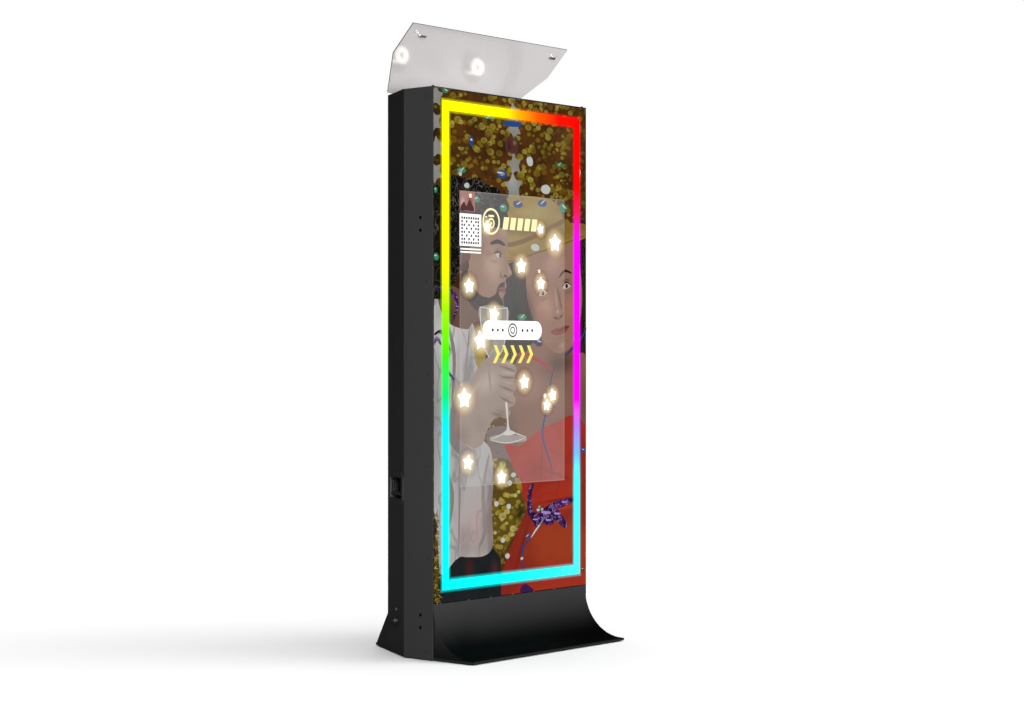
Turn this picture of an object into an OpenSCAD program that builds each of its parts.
// Free-standing mirror photo booth: a folded steel cabinet with chamfered rear corners, a full-height
// two-way mirror with a display, a lens and a light frame behind it, and a lid that tilts up over two
// ring flashes as a bounce reflector.
// The cabinet's front face lies at y = 0 inside each module; place() moves it so that the origin is
// the middle of the footprint, on the floor.

/* [Cabinet] */
// Width across the two side panels
cab_w = 776; // [720:1:960]
// Height of the top rim above the floor
cab_h = 1800; // [1790:1:2200]
// Depth of the straight part of each side panel
side_d = 123; // [110:1:160]
// Depth of the chamfered part of each side panel
chamfer_d = 153; // [150:1:200]
// Angle between a chamfer and its side panel
chamfer_angle = 30; // [24:1:34]
// Thickness of the folded sheet steel
sheet_t = 2; // [1.5:0.1:2.5]
// Width of the flange that each side panel turns round the door opening
rear_flange = 40; // [36:1:50]
// Height of the rubber feet under the steelwork
foot_h = 3; // [2:1:6]

/* [Toe and heel] */
// How far the toe runs forward of the mirror
toe_reach = 165; // [160:1:220]
// Radius of the toe's curved cover
toe_r = 155; // [125:1:158]
// How far the heel runs behind the cabinet, and its height
heel_reach = 120; // [90:1:150]
// Thickness of the toe and heel floor plates
plate_t = 6; // [4:1:10]
// How far the toe's ends are set in from the cabinet's sides
toe_inset = 4; // [0:1:8]

/* [Mirror and light frame] */
// Height of the mirror's lower edge
mirror_z = 178; // [176:1:240]
// Thickness of the mirror glass
glass_t = 5; // [4:1:6]
// Gap round the mirror glass
glass_gap = 0.5; // [0.3:0.1:1]
// Distance from the mirror's edges to the light frame
led_inset = 38; // [34:1:44]
// Width of the light frame's lit band
led_w = 32; // [24:1:34]
// Depth of the light frame's channel
led_depth = 12; // [10:1:13]

/* [Display] */
// Height of the lit picture
lcd_h = 941; // [800:1:960]
// Width of the lit picture
lcd_w = 529; // [450:1:540]
// Width of the display's metal edge
lcd_edge = 10; // [6:1:12]
// Thickness of the display module
lcd_t = 12; // [8:1:14]
// Distance from the top rim down to the top of the lit picture
lcd_drop = 320; // [310:1:360]

/* [Lid] */
// Angle that the lid stands open
lid_open = 45; // [0:1:90]
// Thickness of the lid's outer panel
lid_t = 3; // [2:1:4]
// Thickness of the white reflector under it
reflector_t = 1.5; // [1:0.5:2]
// Height of the lid's pivot above the top rim
lid_pivot_up = 6; // [5.5:0.5:8]
// Distance of the lid's pivot behind the cabinet
lid_pivot_back = 5; // [5:0.5:6]
// Distance from the lid's side edge to each latch
latch_in = 51; // [44:1:60]
// Distance from the lid's front edge to each latch
latch_back = 35; // [34:1:44]

/* [Flash heads] */
// Distance of each flash head from the middle
flash_x = 190; // [130:1:220]
// Distance from the top rim down to the deck's top face
deck_drop = 58; // [50:1:70]
// Distance from the top rim down to the middle of each ring tube
ring_drop = 32; // [30:1:36]
// Radius of the ring tube's centreline
ring_r = 20.5; // [18:0.5:24]
// Radius of the ring tube's glass
ring_tube_r = 8.5; // [6:0.5:9]
// Outer radius of a flash housing
flash_r = 50; // [46:1:54]

/* [Camera] */
// Distance from the top rim down to the lens axis
camera_drop = 160; // [150:1:172]
// Radius of the lens barrel
lens_r = 34; // [30:1:38]
// Distance from the mirror's front face back to the lens
lens_y = 11; // [9:1:16]
// Length of the lens barrel
lens_len = 75; // [60:1:80]

/* [Side fittings] */
// Radius of each threaded insert's hole
insert_bore_r = 4; // [3:0.5:4.5]
// Spacing of the two inserts in a pair
insert_pitch = 40; // [24:1:60]
// Distance of the inserts behind the mirror's face
insert_y = 52; // [46:1:70]
// Height of the middle of the lower insert pair
insert_low_z = 121; // [110:1:140]
// Height of the middle of the upper insert pair
insert_high_z = 1370; // [1200:1:1500]
// Spacing of the screws down each side panel
screw_pitch = 290; // [250:1:295]

/* [Hidden] */

$fn = 96;
hinge_pin_r = 2;
hinge_clear = 0.05;         // radial running clearance of a pin in its bore
knuckle_r = 4.3;
leaf_t = 1.5;

// Cabinet plan
half_w = cab_w / 2;
cab_d = side_d + chamfer_d;
chamfer_len = chamfer_d / cos(chamfer_angle);
rear_half = half_w - chamfer_d * tan(chamfer_angle);
front_y = (toe_reach - cab_d - heel_reach) / 2;   // place of the mirror's face in the booth's own frame
floor_z = foot_h;                                 // underside of the steelwork
toe_top = floor_z + plate_t + sheet_t;            // upper face of the toe's lip

// Front frame, behind the glass
gasket_t = 3;
tube = 25;
tube_wall = 2;
frame_y = glass_t + gasket_t;
frame_back = frame_y + tube;
rail_t = 12;                                      // flat rails that pass behind the light frame
rail_h = 30;
rim_t = 3;
rim_w = 16;
rim_front = 18;
glass_top = cab_h - rim_t - glass_gap;
upright_in = half_w - sheet_t - tube;             // inner face of each upright

// Display and camera
lcd_top = cab_h - lcd_drop;
lcd_bottom = lcd_top - lcd_h;
camera_z = cab_h - camera_drop;
camera_body_d = 50;
camera_body_w = 130;
camera_base = 54;                                 // lens axis above the camera's base
pivot_y = lens_y + lens_len + 17;                 // camera tilt axis
pivot_r = 4;

// Door, which stops short of the deck
deck_t = 2;
door_gap = 2;
door_half = rear_half - rear_flange - door_gap;
door_low = floor_z + heel_reach + 8;
door_high = cab_h - deck_drop - deck_t - 8;
door_depth = 18;
door_axis_y = cab_d + 4.5;
door_axis_x = -(door_half + door_gap / 2);
door_hinge_len = 70;
door_mid = (door_low + door_high) / 2;
door_hinge_z = [door_low + 200, door_mid, door_high - 200];
lock_x = door_half - 33;
lock_z = door_mid - 20;
cam_y = cab_d - door_depth - 7;                   // inner face of the lock's cam
cam_t = 3;
keeper_t = 3;
fan_size = 120;
fan_x = 85;
fan_z = door_high - 285;
fan_t = 25;
fan_y = cab_d - sheet_t - fan_t;                  // inner face of the fans

// Lid
lid_axis_y = cab_d + lid_pivot_back;
lid_axis_z = cab_h + lid_pivot_up;
lid_under = -2;                                   // reflector's face below the pivot
lid_top = lid_under + reflector_t + lid_t;
lid_hinge_x = 200;
lid_hinge_len = 80;
latch_x = half_w - latch_in;
latch_y = latch_back - lid_axis_y;

// Chamfer fittings, by distance s from the chamfer's front edge
handle_s = chamfer_len / 2;
handle_z = 533;
handle_w = 121;
handle_h = 67;
handle_deep = 26;
handle_wall = 1.5;
bail_y = 8;
bail_up = 24;
bail_drop = 42;
bail_half = 50;
socket_z = 108;
socket_s = 85;
socket_r = 12.5;
socket_bore_r = 10;
socket_out = 11;                                  // how far the socket's collar stands out
socket_deep = 14;
button_s = 87;
button_z = 144;
button_r = 4.5;

// ---------- helpers ----------

// Right and left copies of what is drawn for +X.
module both() {
    children();
    mirror([1, 0, 0]) children();
}

// A profile drawn in (y, z), extruded along X between two values.
module along_x(x0, x1) {
    translate([x0, 0, 0]) rotate([90, 0, 90]) linear_extrude(x1 - x0) children();
}

// A cylinder along +Y from y0 to y1 at (x, z).
module rod_y(x, y0, y1, z, r) {
    translate([x, y0, z]) rotate([-90, 0, 0]) cylinder(h = y1 - y0, r = r);
}

// A cylinder along +X.
module rod_x(x0, x1, y, z, r) {
    translate([x0, y, z]) rotate([0, 90, 0]) cylinder(h = x1 - x0, r = r);
}

// A box from its low to its high corner.
module block(low, high) {
    translate(low) cube(high - low);
}

// The right chamfer's frame: +X runs back along the face, +Y points into the cabinet.
module at_chamfer(s, z) {
    translate([half_w, side_d, 0]) rotate([0, 0, 90 + chamfer_angle]) translate([s, 0, z]) children();
}

// The lid as it lies closed, with its pivot at the origin, tilted to the angle it stands at.
module lid_place() {
    translate([0, lid_axis_y, lid_axis_z]) rotate([-lid_open, 0, 0]) children();
}

// Corner where a side line inset by i meets the chamfer, and the half width at y behind it.
function knee_y(i) = side_d - i * tan(chamfer_angle / 2);
function half_at(i, y) = half_w - i - max(0, y - knee_y(i)) * tan(chamfer_angle);

// The cabinet's plan inset by i, between y0 and y1.
module plan(i, y0, y1) {
    polygon([
        [half_w - i, y0], [half_w - i, knee_y(i)], [half_at(i, y1), y1],
        [-half_at(i, y1), y1], [-(half_w - i), knee_y(i)], [-(half_w - i), y0]
    ]);
}

// A rectangular ring standing in the XZ plane between y0 and y1.
module ring_xz(x_out, z_low, z_high, w, y0, y1) {
    difference() {
        block([-x_out, y0, z_low], [x_out, y1, z_high]);
        block([-(x_out - w), y0 - 1, z_low + w], [x_out - w, y1 + 1, z_high - w]);
    }
}

// Points of a tube of n sides swept along a route, as one closed polyhedron.
function unit(v) = v / norm(v);
function heading(p, i) = unit(p[min(i + 1, len(p) - 1)] - p[max(i - 1, 0)]);
function side_of(d) = abs(d[2]) > 0.9 ? unit(cross(d, [0, 1, 0])) : unit(cross(d, [0, 0, 1]));
module tube_along(p, r, n = 8) {
    rings = [
        for (i = [0:len(p) - 1])
            let (d = heading(p, i), u = side_of(d), v = cross(d, u))
                for (k = [0:n - 1]) p[i] + r * (cos(360 * k / n) * u + sin(360 * k / n) * v)
    ];
    walls = [
        for (i = [0:len(p) - 2], k = [0:n - 1])
            [i * n + k, i * n + (k + 1) % n, (i + 1) * n + (k + 1) % n, (i + 1) * n + k]
    ];
    last = (len(p) - 1) * n;
    polyhedron(rings, concat([[for (k = [n - 1:-1:0]) k]], walls, [[for (k = [0:n - 1]) last + k]]), 10);
}

// ---------- cabinet ----------

screw_zs = [for (i = [0:6]) floor_z + 26 + i * screw_pitch];
function screw_y(i) = i % 2 == 0 ? 24 : 19;       // the screws step in and out by turns
screw_r = 1.8;
insert_r = 5.5;
insert_len = 14;
insert_zs = [for (c = [insert_low_z, insert_high_z], k = [-0.5, 0.5]) c + k * insert_pitch];

module side_panel_right(sockets = false) {
    color("#2b2b2c") difference() {
        translate([0, 0, floor_z]) linear_extrude(cab_h - floor_z) polygon([
            [half_w, 0], [half_w, side_d], [rear_half, cab_d], [rear_half - rear_flange, cab_d],
            [rear_half - rear_flange, cab_d - sheet_t], [half_at(sheet_t, cab_d - sheet_t), cab_d - sheet_t],
            [half_w - sheet_t, knee_y(sheet_t)], [half_w - sheet_t, 0]
        ]);
        for (z = insert_zs) rod_x(half_w - 10, half_w + 1, insert_y, z, insert_r);
        for (i = [0:6]) rod_x(half_w - 10, half_w + 1, screw_y(i), screw_zs[i], screw_r);
        at_chamfer(handle_s, handle_z)
            block([-handle_w / 2 - 2, -5, -handle_h / 2 - 2], [handle_w / 2 + 2, 10, handle_h / 2 + 2]);
        if (sockets) {
            at_chamfer(socket_s, socket_z) rod_y(0, -5, 10, 0, socket_r);
            at_chamfer(button_s, button_z) rod_y(0, -5, 10, 0, button_r + 1.5);
        }
    }
    // Keeper that the lock's cam turns behind.
    if (!sockets) color("#2b2b2c") translate([rear_half - rear_flange + 2, 0, lock_z - 12])
        block([0, cam_y + cam_t + 2, 0], [keeper_t, cab_d - sheet_t, 24]);
}

module side_panel_left() {
    mirror([1, 0, 0]) side_panel_right(sockets = true);
}

// Cross panel between the two door flanges, flush with them.
module rear_strip(z0, z1) {
    w = rear_half - rear_flange;
    color("#2b2b2c") block([-w, cab_d - sheet_t, z0], [w, cab_d, z1]);
}

module rear_cross_panels() {
    rear_strip(door_high + door_gap, cab_h);
    rear_strip(floor_z, door_low - door_gap);
}

base_t = 3;

module base_pan() {
    color("#2b2b2c") translate([0, 0, floor_z]) linear_extrude(base_t)
        plan(sheet_t, sheet_t, cab_d - sheet_t);
}

module top_rim() {
    color("#232324") translate([0, 0, cab_h - rim_t]) linear_extrude(rim_t) difference() {
        plan(sheet_t, 0, cab_d - sheet_t);
        plan(sheet_t + rim_w, rim_front, cab_d - sheet_t - rim_w);
    }
}

deck_top = cab_h - deck_drop;
flash_y = cab_d / 2;

module top_deck() {
    slot_w = 4;
    slot_half = 40;
    color("#c9c9ca") difference() {
        translate([0, 0, deck_top - deck_t]) linear_extrude(deck_t)
            plan(sheet_t, frame_back + 1, cab_d - sheet_t);
        both() translate([flash_x, flash_y, deck_top - 5]) cylinder(h = 10, r = flash_r);
        for (i = [-3:3]) translate([i * 14, flash_y, deck_top])
            block([-slot_w / 2, -slot_half, -5], [slot_w / 2, slot_half, 5]);
    }
}

module frame_uprights() {
    color("#3a3b3d") both() difference() {
        block([upright_in, frame_y, floor_z + base_t], [half_w - sheet_t, frame_back, cab_h - rim_t]);
        block(
            [upright_in + tube_wall, frame_y + tube_wall, 0],
            [half_w - sheet_t - tube_wall, frame_back - tube_wall, cab_h]
        );
        for (i = [0:6]) rod_x(half_w - 10, half_w + 1, screw_y(i), screw_zs[i], screw_r);
    }
}

top_rail_h = 20;
top_rail_z = glass_top + glass_gap + rim_t - led_inset + 2;

module frame_rails() {
    color("#3a3b3d") {
        block([-upright_in, frame_y, top_rail_z], [upright_in, frame_back, top_rail_z + top_rail_h]);
        block([-upright_in, frame_y, mirror_z - tube - 4], [upright_in, frame_back, mirror_z - 4]);
        for (z = [lcd_bottom - 40, lcd_top + 10])
            block([-upright_in, frame_back - rail_t, z], [upright_in, frame_back, z + rail_h]);
    }
}

// ---------- toe and heel ----------

toe_cz = toe_top + toe_r;                         // height of the curve's centre
toe_joint = 3;                                    // shadow gap between toe and cabinet

toe_half = half_w - toe_inset;

// Curved cover with a solid lip, a riser up to the mirror and a cheek at each end.
module toe_cover() {
    color("#2b2b2c") {
        along_x(-toe_half, toe_half) {
            translate([-toe_r, toe_cz]) difference() {
                circle(toe_r + sheet_t);
                circle(toe_r);
                translate([-2 * toe_r, -2 * toe_r]) square([2 * toe_r, 4 * toe_r]);
                translate([-2 * toe_r, 0]) square(4 * toe_r);
            }
            translate([0, toe_cz]) square([sheet_t, mirror_z - 2 - toe_cz]);
            translate([-toe_reach, toe_top - sheet_t]) square([toe_reach - toe_r, sheet_t]);
        }
        both() along_x(toe_half - sheet_t, toe_half) difference() {
            translate([-toe_r, floor_z + plate_t]) square([toe_r - toe_joint, toe_cz - floor_z - plate_t]);
            translate([-toe_r, toe_cz]) circle(toe_r + sheet_t / 2);
        }
    }
}

module toe_plate() {
    color("#232324") block([-toe_half, -toe_reach, floor_z], [toe_half, -toe_joint, floor_z + plate_t]);
}

// The heel's form inset by i: a 45 degree ramp whose ends carry on the chamfers' planes. The form that
// cuts it hollow runs out past its open faces.
module heel_form(i) {
    past = i > 0 ? 1 : 0;
    base = floor_z + plate_t - past;
    drop = i * sqrt(2);
    intersection() {
        along_x(-half_w, half_w) polygon([
            [cab_d - past, base],
            [cab_d + heel_reach + floor_z - drop - base, base],
            [cab_d - past, floor_z + heel_reach - drop + past]
        ]);
        translate([0, 0, -1]) linear_extrude(heel_reach * 2) plan(i, side_d - 20, cab_d + heel_reach);
    }
}

module heel_cover() {
    color("#262627") difference() {
        heel_form(0);
        heel_form(sheet_t);
    }
}

module heel_plate() {
    color("#232324") translate([0, 0, floor_z]) linear_extrude(plate_t) difference() {
        plan(0, side_d - 20, cab_d + heel_reach);
        translate([-half_w, -1]) square([cab_w, cab_d + 1]);
    }
}

module rubber_feet() {
    foot_r = 15;
    spots = [
        [half_w - 60, -toe_reach + 30], [half_w - 60, 50], [rear_half - 40, cab_d - 30],
        [half_at(0, cab_d + heel_reach) - 40, cab_d + heel_reach - 30]
    ];
    color("#141414") both() for (p = spots) translate([p[0], p[1], 0]) cylinder(h = foot_h, r = foot_r);
}

// ---------- mirror and light frame ----------

glass_half = half_w - sheet_t - glass_gap;

module mirror_glass() {
    color("#3b3f42") block([-glass_half, 0, mirror_z], [glass_half, glass_t, glass_top]);
}

module glass_gasket() {
    w = 20;
    color("#181818") both()
        block([half_w - sheet_t - w, glass_t, mirror_z], [half_w - sheet_t - 1, frame_y, glass_top]);
}

// Small bright clips that carry the glass's lower edge.
module glass_clips() {
    clip_w = 8;
    lip = 2.5;
    color("#d8d8d8") for (i = [-2:2]) translate([i * 108, 0, 0]) {
        block([-clip_w / 2, 0, mirror_z - 1.8], [clip_w / 2, frame_y + 2, mirror_z - 0.3]);
        block([-clip_w / 2, -0.8, mirror_z - 1.8], [clip_w / 2, 0, mirror_z + lip]);
        block([-clip_w / 2, frame_y, mirror_z - 4], [clip_w / 2, frame_y + 2, mirror_z - 1.8]);
    }
}

led_out = half_w - led_inset;
led_low = mirror_z + led_inset;
led_high = cab_h - led_inset;
led_wall = 1.5;

module led_channel() {
    color("#b9bbbd") difference() {
        ring_xz(led_out, led_low, led_high, led_w, glass_t, glass_t + led_depth);
        ring_xz(led_out - led_wall, led_low + led_wall, led_high - led_wall, led_w - 2 * led_wall,
            glass_t - 1, glass_t + led_depth - led_wall);
    }
}

module led_tape() {
    w = 10;
    o = (led_w - w) / 2;
    color("#e8e4d8") ring_xz(led_out - o, led_low + o, led_high - o, w,
        glass_t + led_depth - led_wall - 1.5, glass_t + led_depth - led_wall);
}

module led_diffuser() {
    o = led_wall + 0.2;
    color("#f3f5f6") ring_xz(led_out - o, led_low + o, led_high - o, led_w - 2 * o, glass_t, glass_t + 3);
}

// ---------- display ----------

foil_t = 0.5;
lcd_y = glass_t + foil_t;

module touch_foil() {
    color("#5a6066")
        block([-lcd_w / 2 - 4, glass_t, lcd_bottom - 4], [lcd_w / 2 + 4, lcd_y, lcd_top + 4]);
}

module lcd_panel() {
    w = lcd_w / 2 + lcd_edge;
    color("#1b1d20") block([-w, lcd_y, lcd_bottom - lcd_edge], [w, lcd_y + lcd_t, lcd_top + lcd_edge]);
}

module lcd_chassis() {
    w = lcd_w / 2 - 25;
    vent_w = w - 40;
    color("#8d9092") difference() {
        block([-w, lcd_y + lcd_t, lcd_bottom + 60], [w, frame_back, lcd_top - 60]);
        for (i = [0:7]) translate([0, frame_back, lcd_top - 120 - i * 16])
            block([-vent_w, -3, 0], [vent_w, 1, 8]);
    }
}

lcd_rail_t = 12;

module lcd_rails() {
    color("#77797b") both()
        block([100, frame_back, lcd_bottom - 40], [130, frame_back + lcd_rail_t, lcd_top + 10 + rail_h]);
}

// ---------- camera ----------

ear_x = camera_body_w / 2 + 13;
arm_t = 3;

bracket_y = frame_back + lcd_rail_t;

// Cross plate on the display's rails with two arms that reach forward to the pivot.
module camera_bracket() {
    foot_z = lcd_top + 10;
    color("#3a3b3d") {
        both() difference() {
            along_x(ear_x + 0.5, ear_x + 0.5 + arm_t) polygon([
                [bracket_y, foot_z], [bracket_y + 30, foot_z], [bracket_y + 30, camera_z - 24],
                [pivot_y + 14, camera_z - 14], [pivot_y + 14, camera_z + 14], [pivot_y - 14, camera_z + 14],
                [bracket_y, camera_z - 24]
            ]);
            rod_x(ear_x - 5, ear_x + 10, pivot_y, camera_z, pivot_r + hinge_clear);
        }
        block([-135, bracket_y, foot_z], [135, bracket_y + arm_t, foot_z + rail_h]);
    }
}

module camera_cradle() {
    tray_z = camera_z - camera_base - arm_t;
    y0 = lens_y + lens_len - 10;
    color("#4a4b4d") {
        block([-ear_x, y0, tray_z], [ear_x, pivot_y + 40, tray_z + arm_t]);
        both() {
            block([ear_x - arm_t, y0, tray_z], [ear_x, pivot_y + 14, camera_z + 12]);
            rod_x(ear_x - arm_t, ear_x + 6, pivot_y, camera_z, pivot_r);
        }
    }
}

module camera_body() {
    y0 = lens_y + lens_len;
    y1 = y0 + camera_body_d;
    w = camera_body_w / 2;
    low = camera_z - camera_base;
    color("#1a1a1b") {
        block([-w, y0 + 8, low], [w, y1, low + 88]);
        rod_y(0, y0, y0 + 10, camera_z, lens_r + 3);
        block([-w, y0 - 6, low], [-w + 26, y0 + 10, low + 80]);
        along_x(-26, 26) polygon([
            [y0 + 2, low + 86], [y0 + 2, low + 96], [y0 + 14, low + 106], [y1 - 12, low + 106],
            [y1, low + 96], [y1, low + 86]
        ]);
    }
}

module camera_lens() {
    y1 = lens_y + lens_len;
    color("#161617") difference() {
        union() {
            rod_y(0, lens_y, lens_y + 26, camera_z, lens_r);
            rod_y(0, lens_y + 26, lens_y + 52, camera_z, lens_r - 2);
            rod_y(0, lens_y + 52, y1, camera_z, lens_r - 4);
        }
        rod_y(0, lens_y - 1, lens_y + 12, camera_z, lens_r - 4);
    }
}

module lens_glass() {
    color("#26324a") translate([0, lens_y + 12, camera_z]) rotate([90, 0, 0]) rotate_extrude() {
        intersection() {
            translate([0, -50]) circle(56);
            square([lens_r - 4, 10]);
        }
    }
}

// ---------- flash heads ----------

ring_z = cab_h - ring_drop;
housing_low = deck_top - 150;
housing_wall = 2;
dish_z = deck_top - 20;                           // where the dish stands on the housing's core
dish_floor_r = 30;
dish_rim_r = flash_r - 4;
dish_h = 24;
dish_t = 2;

module flash_housings() {
    core_r = 24;
    core_low = housing_low + housing_wall;
    color("#222223") both() translate([flash_x, flash_y, 0]) {
        difference() {
            union() {
                translate([0, 0, housing_low]) cylinder(h = deck_top - housing_low, r = flash_r);
                translate([0, 0, deck_top]) cylinder(h = housing_wall, r = flash_r + 8);
            }
            translate([0, 0, core_low]) cylinder(h = deck_top - housing_low + 10, r = flash_r - housing_wall);
        }
        translate([0, 0, core_low]) cylinder(h = dish_z - core_low, r = core_r);
    }
}

// Polished bowl round each tube, standing on the housing's core.
module flash_dishes() {
    color("#d9dadb") both() translate([flash_x, flash_y, dish_z]) rotate_extrude() polygon([
        [0, 0], [dish_floor_r, 0], [dish_rim_r, dish_h - dish_t], [dish_rim_r, dish_h],
        [dish_floor_r - 1, dish_t], [0, dish_t]
    ]);
}

module flash_tubes() {
    leg_low = dish_z + dish_t;
    color("#fffdf4") both() translate([flash_x, flash_y, 0]) {
        translate([0, 0, ring_z]) rotate_extrude() translate([ring_r, 0]) circle(ring_tube_r, $fn = 48);
        for (a = [60, 120]) rotate([0, 0, a]) translate([ring_r, 0, leg_low])
            cylinder(h = ring_z - leg_low, r = 3);
    }
}

module modelling_lamps() {
    low = dish_z + dish_t;
    r = 7;
    color("#efe9dc") both() translate([flash_x, flash_y, 0]) {
        translate([0, 0, low]) cylinder(h = ring_z - 4 - low, r = r);
        translate([0, 0, ring_z - 4]) sphere(r);
    }
}

// ---------- side fittings ----------

module side_screws() {
    head_r = 3;
    head_h = 1.2;
    color("#1d1d1e") both() for (i = [0:6]) {
        rod_x(half_w - sheet_t - tube_wall - 3, half_w, screw_y(i), screw_zs[i], screw_r);
        rod_x(half_w, half_w + head_h, screw_y(i), screw_zs[i], head_r);
    }
}

module thread_inserts() {
    color("#6f7072") both() for (z = insert_zs) difference() {
        rod_x(half_w - insert_len, half_w, insert_y, z, insert_r);
        rod_x(half_w - insert_len - 1, half_w + 1, insert_y, z, insert_bore_r);
    }
}

// A plate w by h with its corners cut off.
module octagon(w, h, cut) {
    polygon([
        [w / 2 - cut, -h / 2], [w / 2, -h / 2 + cut], [w / 2, h / 2 - cut], [w / 2 - cut, h / 2],
        [-w / 2 + cut, h / 2], [-w / 2, h / 2 - cut], [-w / 2, -h / 2 + cut], [-w / 2 + cut, -h / 2]
    ]);
}

module handle_dishes() {
    w = handle_w / 2;
    h = handle_h / 2;
    t = handle_wall;
    color("#1b1b1c") both() at_chamfer(handle_s, handle_z) difference() {
        union() {
            rotate([90, 0, 0]) linear_extrude(t) octagon(chamfer_len - 12, handle_h + 40, 18);
            block([-w - t, 0, -h - t], [w + t, handle_deep + t, h + t]);
        }
        block([-w, -5, -h], [w, handle_deep, h]);
        rod_x(-w - 10, w + 10, bail_y, bail_up, 3 + hinge_clear);
        for (x = [-1, 1], z = [-1, 1])
            translate([x * (w + 12), 0, z * (h + 4)]) rotate([90, 0, 0]) cylinder(h = 5, r = 1.6);
    }
}

module handle_bail_right() {
    w = handle_w / 2;
    color("#3c3d3f") at_chamfer(handle_s, handle_z) {
        for (x = [-bail_half, bail_half])
            translate([x, bail_y, bail_up - bail_drop]) cylinder(h = bail_drop, r = 3.5);
        for (x = [-bail_half, bail_half]) translate([x, bail_y, bail_up]) sphere(4.5);
        rod_x(bail_half, w + 4, bail_y, bail_up, 3);
        rod_x(-w - 4, -bail_half, bail_y, bail_up, 3);
        rod_x(-bail_half - 4, bail_half + 4, bail_y, bail_up - bail_drop, 6);
    }
}

module handle_bail_left() { mirror([1, 0, 0]) handle_bail_right(); }

// Round mains inlet on the left chamfer, with a collar that stands out of the panel.
module power_socket() {
    flange_t = 2;
    color("#16181b") mirror([1, 0, 0]) at_chamfer(socket_s, socket_z) difference() {
        union() {
            rod_y(0, -flange_t, 0, 0, socket_r + 3.5);
            rod_y(0, -socket_out, 20, 0, socket_r);
        }
        rod_y(0, -socket_out - 1, socket_deep - socket_out, 0, socket_bore_r);
        for (a = [0, 120, 240]) rotate([0, a, 0]) translate([0, 0, 5])
            rod_y(0, 0, socket_deep, 0, 1.5);
    }
}

module button_bush() {
    color("#8a8c8e") mirror([1, 0, 0]) at_chamfer(button_s, button_z) difference() {
        union() {
            rod_y(0, -1.5, 0, 0, button_r + 3.5);
            rod_y(0, 0, 16, 0, button_r + 1.5);
        }
        rod_y(0, -5, 14, 0, button_r + hinge_clear);
    }
}

module power_button() {
    color("#111112") mirror([1, 0, 0]) at_chamfer(button_s, button_z) rod_y(0, -4, 10, 0, button_r);
}

// ---------- lid ----------

module lid_buffers() {
    h = lid_pivot_up + lid_under - 0.2;
    color("#141414") both() {
        at_chamfer(38, cab_h) translate([0, 8, 0]) cylinder(h = h, r = 4);
        translate([half_w - 12, 9, cab_h]) cylinder(h = h, r = 4);
    }
}

third = lid_hinge_len / 3;
hinge_side = 0.2;           // side clearance between knuckles

module lid_hinge_base() {
    color("#2f3032") both() translate([lid_hinge_x, lid_axis_y, lid_axis_z]) {
        difference() {
            union() {
                for (x = [-third * 1.5, third * 0.5]) {
                    rod_x(x, x + third, 0, 0, knuckle_r);
                    block([x, -lid_pivot_back, -12], [x + third, -lid_pivot_back + leaf_t, 0]);
                }
                block([-third * 1.5, -lid_pivot_back, -36], [third * 1.5, -lid_pivot_back + leaf_t, -8]);
            }
            for (x = [-30, 0, 30]) rod_y(x, -20, 20, -26, 1.8);
        }
        rod_x(-third * 0.5, third * 0.5, 0, 0, hinge_pin_r);
    }
}

module lid_hinge_leaves() {
    w = third / 2 - hinge_side;
    color("#2f3032") lid_place() both() translate([lid_hinge_x, 0, 0]) difference() {
        union() {
            rod_x(-w, w, 0, 0, knuckle_r);
            block([-w, -8, lid_top], [w, 0, lid_top + leaf_t]);
            block([-third * 1.5, -38, lid_top], [third * 1.5, -lid_pivot_back - 1, lid_top + leaf_t]);
        }
        rod_x(-w - 1, w + 1, 0, 0, hinge_pin_r + hinge_clear);
    }
}

// The lid's outline, which is the cabinet's own plan, with its latch holes.
module lid_plate(z0, z1) {
    translate([0, -lid_axis_y, z0]) linear_extrude(z1 - z0) difference() {
        plan(0, 0, cab_d);
        for (x = [-latch_x, latch_x]) translate([x, latch_back]) circle(3 + hinge_clear);
        for (x = [-latch_x, latch_x]) translate([x + sign(x) * 21, latch_back - 3.5]) circle(2.5);
    }
}

module lid_panel() {
    color("#2f2f30") lid_place() lid_plate(lid_under + reflector_t, lid_top);
}

module lid_reflector() {
    color("#f0efee") lid_place() lid_plate(lid_under, lid_under + reflector_t);
}

bolt_top = -11.5;           // upper face of a latch's bolt, which turns in under the rim

module lid_latch_right() {
    bolt_len = 26;
    bolt_t = 3;
    color("#c4c6c8") lid_place() translate([latch_x, latch_y, 0]) {
        translate([0, 0, bolt_top - bolt_t]) cylinder(h = lid_top + 4 - bolt_top + bolt_t, r = 3);
        translate([0, 0, lid_top + 0.3]) cylinder(h = 8, r = 9);
        block([-9, -2, lid_top + 8.3], [9, 2, lid_top + 13]);
        translate([0, 0, bolt_top - bolt_t]) linear_extrude(bolt_t) {
            circle(5);
            translate([-bolt_len, -3.5]) square([bolt_len, 7]);
        }
    }
}

module lid_latch_left() { mirror([1, 0, 0]) lid_latch_right(); }

// ---------- rear door ----------

module fan_slots(z) {
    pitch = 12;
    for (i = [-4:4]) {
        reach = sqrt(pow(fan_size / 2 - 8, 2) - pow(i * pitch, 2));
        translate([i * pitch - 3, cab_d - 10, z - reach]) cube([6, 20, 2 * reach]);
    }
}

module rear_door() {
    color("#28282a") difference() {
        block([-door_half, cab_d - door_depth, door_low], [door_half, cab_d, door_high]);
        block(
            [-door_half + sheet_t, cab_d - door_depth - 1, door_low + sheet_t],
            [door_half - sheet_t, cab_d - sheet_t, door_high - sheet_t]
        );
        for (x = [-fan_x, fan_x]) translate([x, 0, 0]) fan_slots(fan_z);
        for (x = [-150, 50], i = [0:6])
            translate([x, cab_d - 10, door_low + 90 + i * 14]) cube([100, 20, 6]);
        rod_y(lock_x, cab_d - 10, cab_d + 5, lock_z, 9.5);
    }
}

// One hinge wing with its leaf on +X: the knuckle is split in three along Z.
door_third = door_hinge_len / 3;

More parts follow.
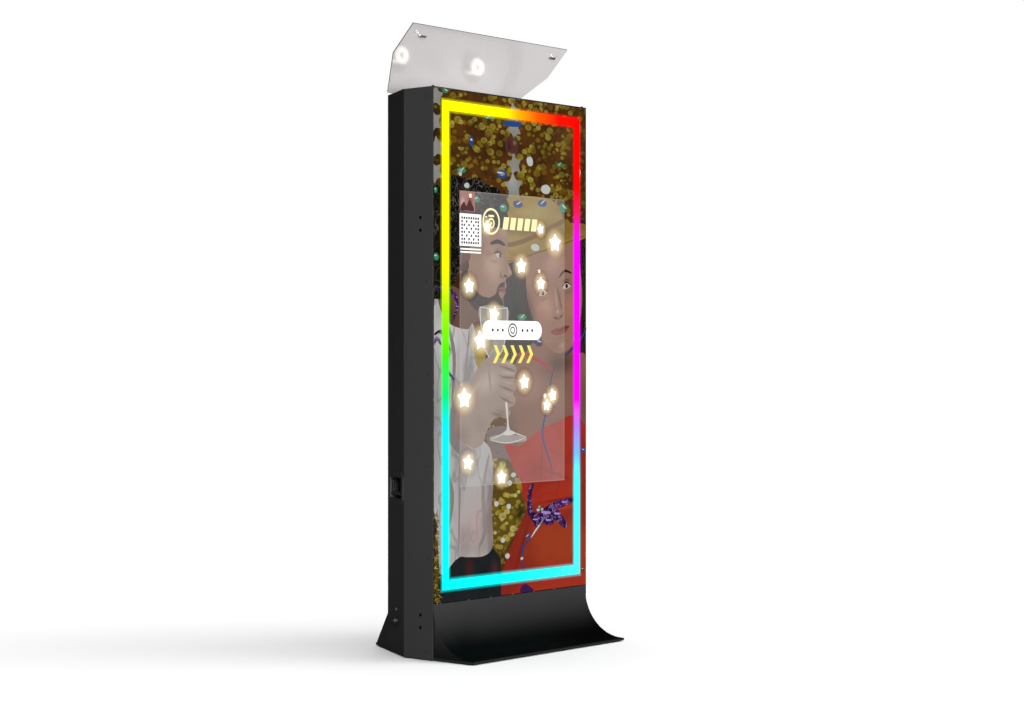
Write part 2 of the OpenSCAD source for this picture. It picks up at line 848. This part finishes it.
module wing(ends) {
    reach = 28;
    span = ends ? [[-1.5, -0.5], [0.5, 1.5]] : [[-0.5, 0.5]];
    gap = ends ? 0 : hinge_side;
    difference() {
        union() {
            for (k = span) {
                translate([0, 0, k[0] * door_third + gap])
                    cylinder(h = (k[1] - k[0]) * door_third - 2 * gap, r = knuckle_r);
                block([0, -4.5, k[0] * door_third + gap], [8, -4.5 + leaf_t, k[1] * door_third - gap]);
            }
            block([5, -4.5, -1.5 * door_third], [reach, -4.5 + leaf_t, 1.5 * door_third]);
        }
        translate([0, 0, -door_hinge_len])
            cylinder(h = 2 * door_hinge_len, r = hinge_pin_r + (ends ? 0 : hinge_clear));
        for (z = [-25, 0, 25]) rod_y(18, -20, 20, z, 1.8);
    }
}

module door_hinge_base() {
    color("#2f3032") for (z = door_hinge_z) translate([door_axis_x, door_axis_y, z]) {
        mirror([1, 0, 0]) wing(true);
        translate([0, 0, -door_hinge_len / 2]) cylinder(h = door_hinge_len, r = hinge_pin_r);
    }
}

module door_hinge_leaves() {
    color("#2f3032") for (z = door_hinge_z) translate([door_axis_x, door_axis_y, z]) wing(false);
}

lock_r = 6;

module lock_barrel() {
    color("#b6b8ba") difference() {
        union() {
            rod_y(lock_x, cab_d, cab_d + 3, lock_z, 13);
            rod_y(lock_x, cab_d - door_depth - 3, cab_d, lock_z, 9.5);
        }
        rod_y(lock_x, cab_d - door_depth - 10, cab_d + 5, lock_z, lock_r + hinge_clear);
    }
}

module lock_cam() {
    color("#9fa1a3") difference() {
        union() {
            rod_y(lock_x, cam_y, cab_d + 4, lock_z, lock_r);
            block([lock_x - 8, cam_y, lock_z - 8], [lock_x + 8, cam_y + cam_t, lock_z + 44]);
        }
        block([lock_x - 0.8, cab_d, lock_z - 4], [lock_x + 0.8, cab_d + 5, lock_z + 4]);
    }
}

module fan_frames() {
    s = fan_size / 2;
    color("#1c1c1d") both() translate([fan_x, 0, fan_z]) {
        difference() {
            block([-s, fan_y, -s], [s, fan_y + fan_t, s]);
            rod_y(0, fan_y - 1, fan_y + fan_t + 1, 0, s - 3);
            for (x = [-1, 1], z = [-1, 1]) rod_y(x * 52.5, fan_y - 1, fan_y + fan_t + 1, z * 52.5, 2.2);
        }
        rod_y(0, fan_y, fan_y + 3, 0, 20);
        rod_y(0, fan_y, fan_y + 18, 0, 3);
        for (a = [0:90:270]) rotate([0, a + 45, 0]) block([-2, fan_y, 10], [2, fan_y + 3, s - 1]);
    }
}

module fan_rotor_right() {
    r = fan_size / 2 - 6;
    blades = 7;
    color("#2a2a2c") translate([fan_x, fan_y + 4, fan_z]) difference() {
        union() {
            rod_y(0, 0, 17, 0, 20);
            for (i = [0:blades - 1]) rotate([0, i * 360 / blades, 0])
                translate([0, 9, 15]) rotate([0, 0, 35]) block([-14, -0.8, 0], [14, 0.8, r - 17]);
        }
        rod_y(0, -1, 15, 0, 3 + hinge_clear);
    }
}

module fan_rotor_left() { mirror([1, 0, 0]) fan_rotor_right(); }

// ---------- inside ----------

shelf_z = floor_z + 176;
shelf_half = 245;
shelf_y0 = 60;
shelf_y1 = cab_d - door_depth - 12;

shelf_t = 2;

// Tray turned upside down over the mains strip.
module equipment_shelf() {
    inner = shelf_half - shelf_t;
    color("#55585b") difference() {
        block([-shelf_half, shelf_y0, floor_z + base_t], [shelf_half, shelf_y1, shelf_z]);
        block([-inner, shelf_y0 - 1, 0], [inner, shelf_y1 + 1, shelf_z - shelf_t]);
    }
}

module computer() {
    color("#3c4045") translate([-200, shelf_y0 + 5, shelf_z]) difference() {
        cube([180, 160, 42]);
        for (i = [0:8]) translate([20 + i * 16, 155, 8]) cube([6, 10, 26]);
    }
}

module light_driver() {
    color("#a9acae") translate([40, shelf_y0 + 15, shelf_z]) difference() {
        cube([160, 100, 36]);
        for (i = [0:9]) translate([10 + i * 14, -5, 32]) cube([6, 110, 10]);
    }
}

strip_low = floor_z + base_t;

module power_strip() {
    y = shelf_y0 + 73;
    color("#e6e6e4") difference() {
        block([-180, y - 24, strip_low], [120, y + 24, strip_low + 38]);
        for (i = [0:4]) translate([-145 + i * 55, y, strip_low + 30]) cylinder(h = 20, r = 19);
    }
}

module internal_leads() {
    lead_r = 4;
    color("#101011") {
        tube_along([
            [-295, 172, socket_z], [-288, 168, 104], [-280, 162, 88], [-274, 152, 60], [-268, 143, 36],
            [-262, 137, 20], [-256, 133.5, 14]
        ], lead_r);
        both() tube_along([
            [flash_x, flash_y, housing_low - 1], [flash_x + 4, flash_y + 3, housing_low - 40],
            [flash_x + 30, flash_y + 20, housing_low - 160], [flash_x + 62, flash_y + 28, housing_low - 400],
            [flash_x + 66, flash_y + 20, housing_low - 800], [flash_x + 67, flash_y, housing_low - 1150],
            [flash_x + 67, flash_y, shelf_z + 60], [flash_x + 67, flash_y, shelf_z - 90]
        ], lead_r);
    }
}

// ---------- assembly ----------

module place() { translate([0, front_y, 0]) children(); }

place() {
    side_panel_left();
    side_panel_right();
    rear_cross_panels();
    base_pan();
    top_rim();
    top_deck();
    frame_uprights();
    frame_rails();
    toe_cover();
    toe_plate();
    heel_cover();
    heel_plate();
    rubber_feet();
    mirror_glass();
    glass_gasket();
    glass_clips();
    led_channel();
    led_tape();
    led_diffuser();
    touch_foil();
    lcd_panel();
    lcd_chassis();
    lcd_rails();
    camera_bracket();
    camera_cradle();
    camera_body();
    camera_lens();
    lens_glass();
    flash_housings();
    flash_dishes();
    flash_tubes();
    modelling_lamps();
    side_screws();
    thread_inserts();
    handle_dishes();
    handle_bail_left();
    handle_bail_right();
    power_socket();
    button_bush();
    power_button();
    lid_buffers();
    lid_hinge_base();
    lid_panel();
    lid_reflector();
    lid_hinge_leaves();
    lid_latch_left();
    lid_latch_right();
    rear_door();
    door_hinge_base();
    door_hinge_leaves();
    lock_barrel();
    lock_cam();
    fan_frames();
    fan_rotor_left();
    fan_rotor_right();
    equipment_shelf();
    computer();
    light_driver();
    power_strip();
    internal_leads();
}
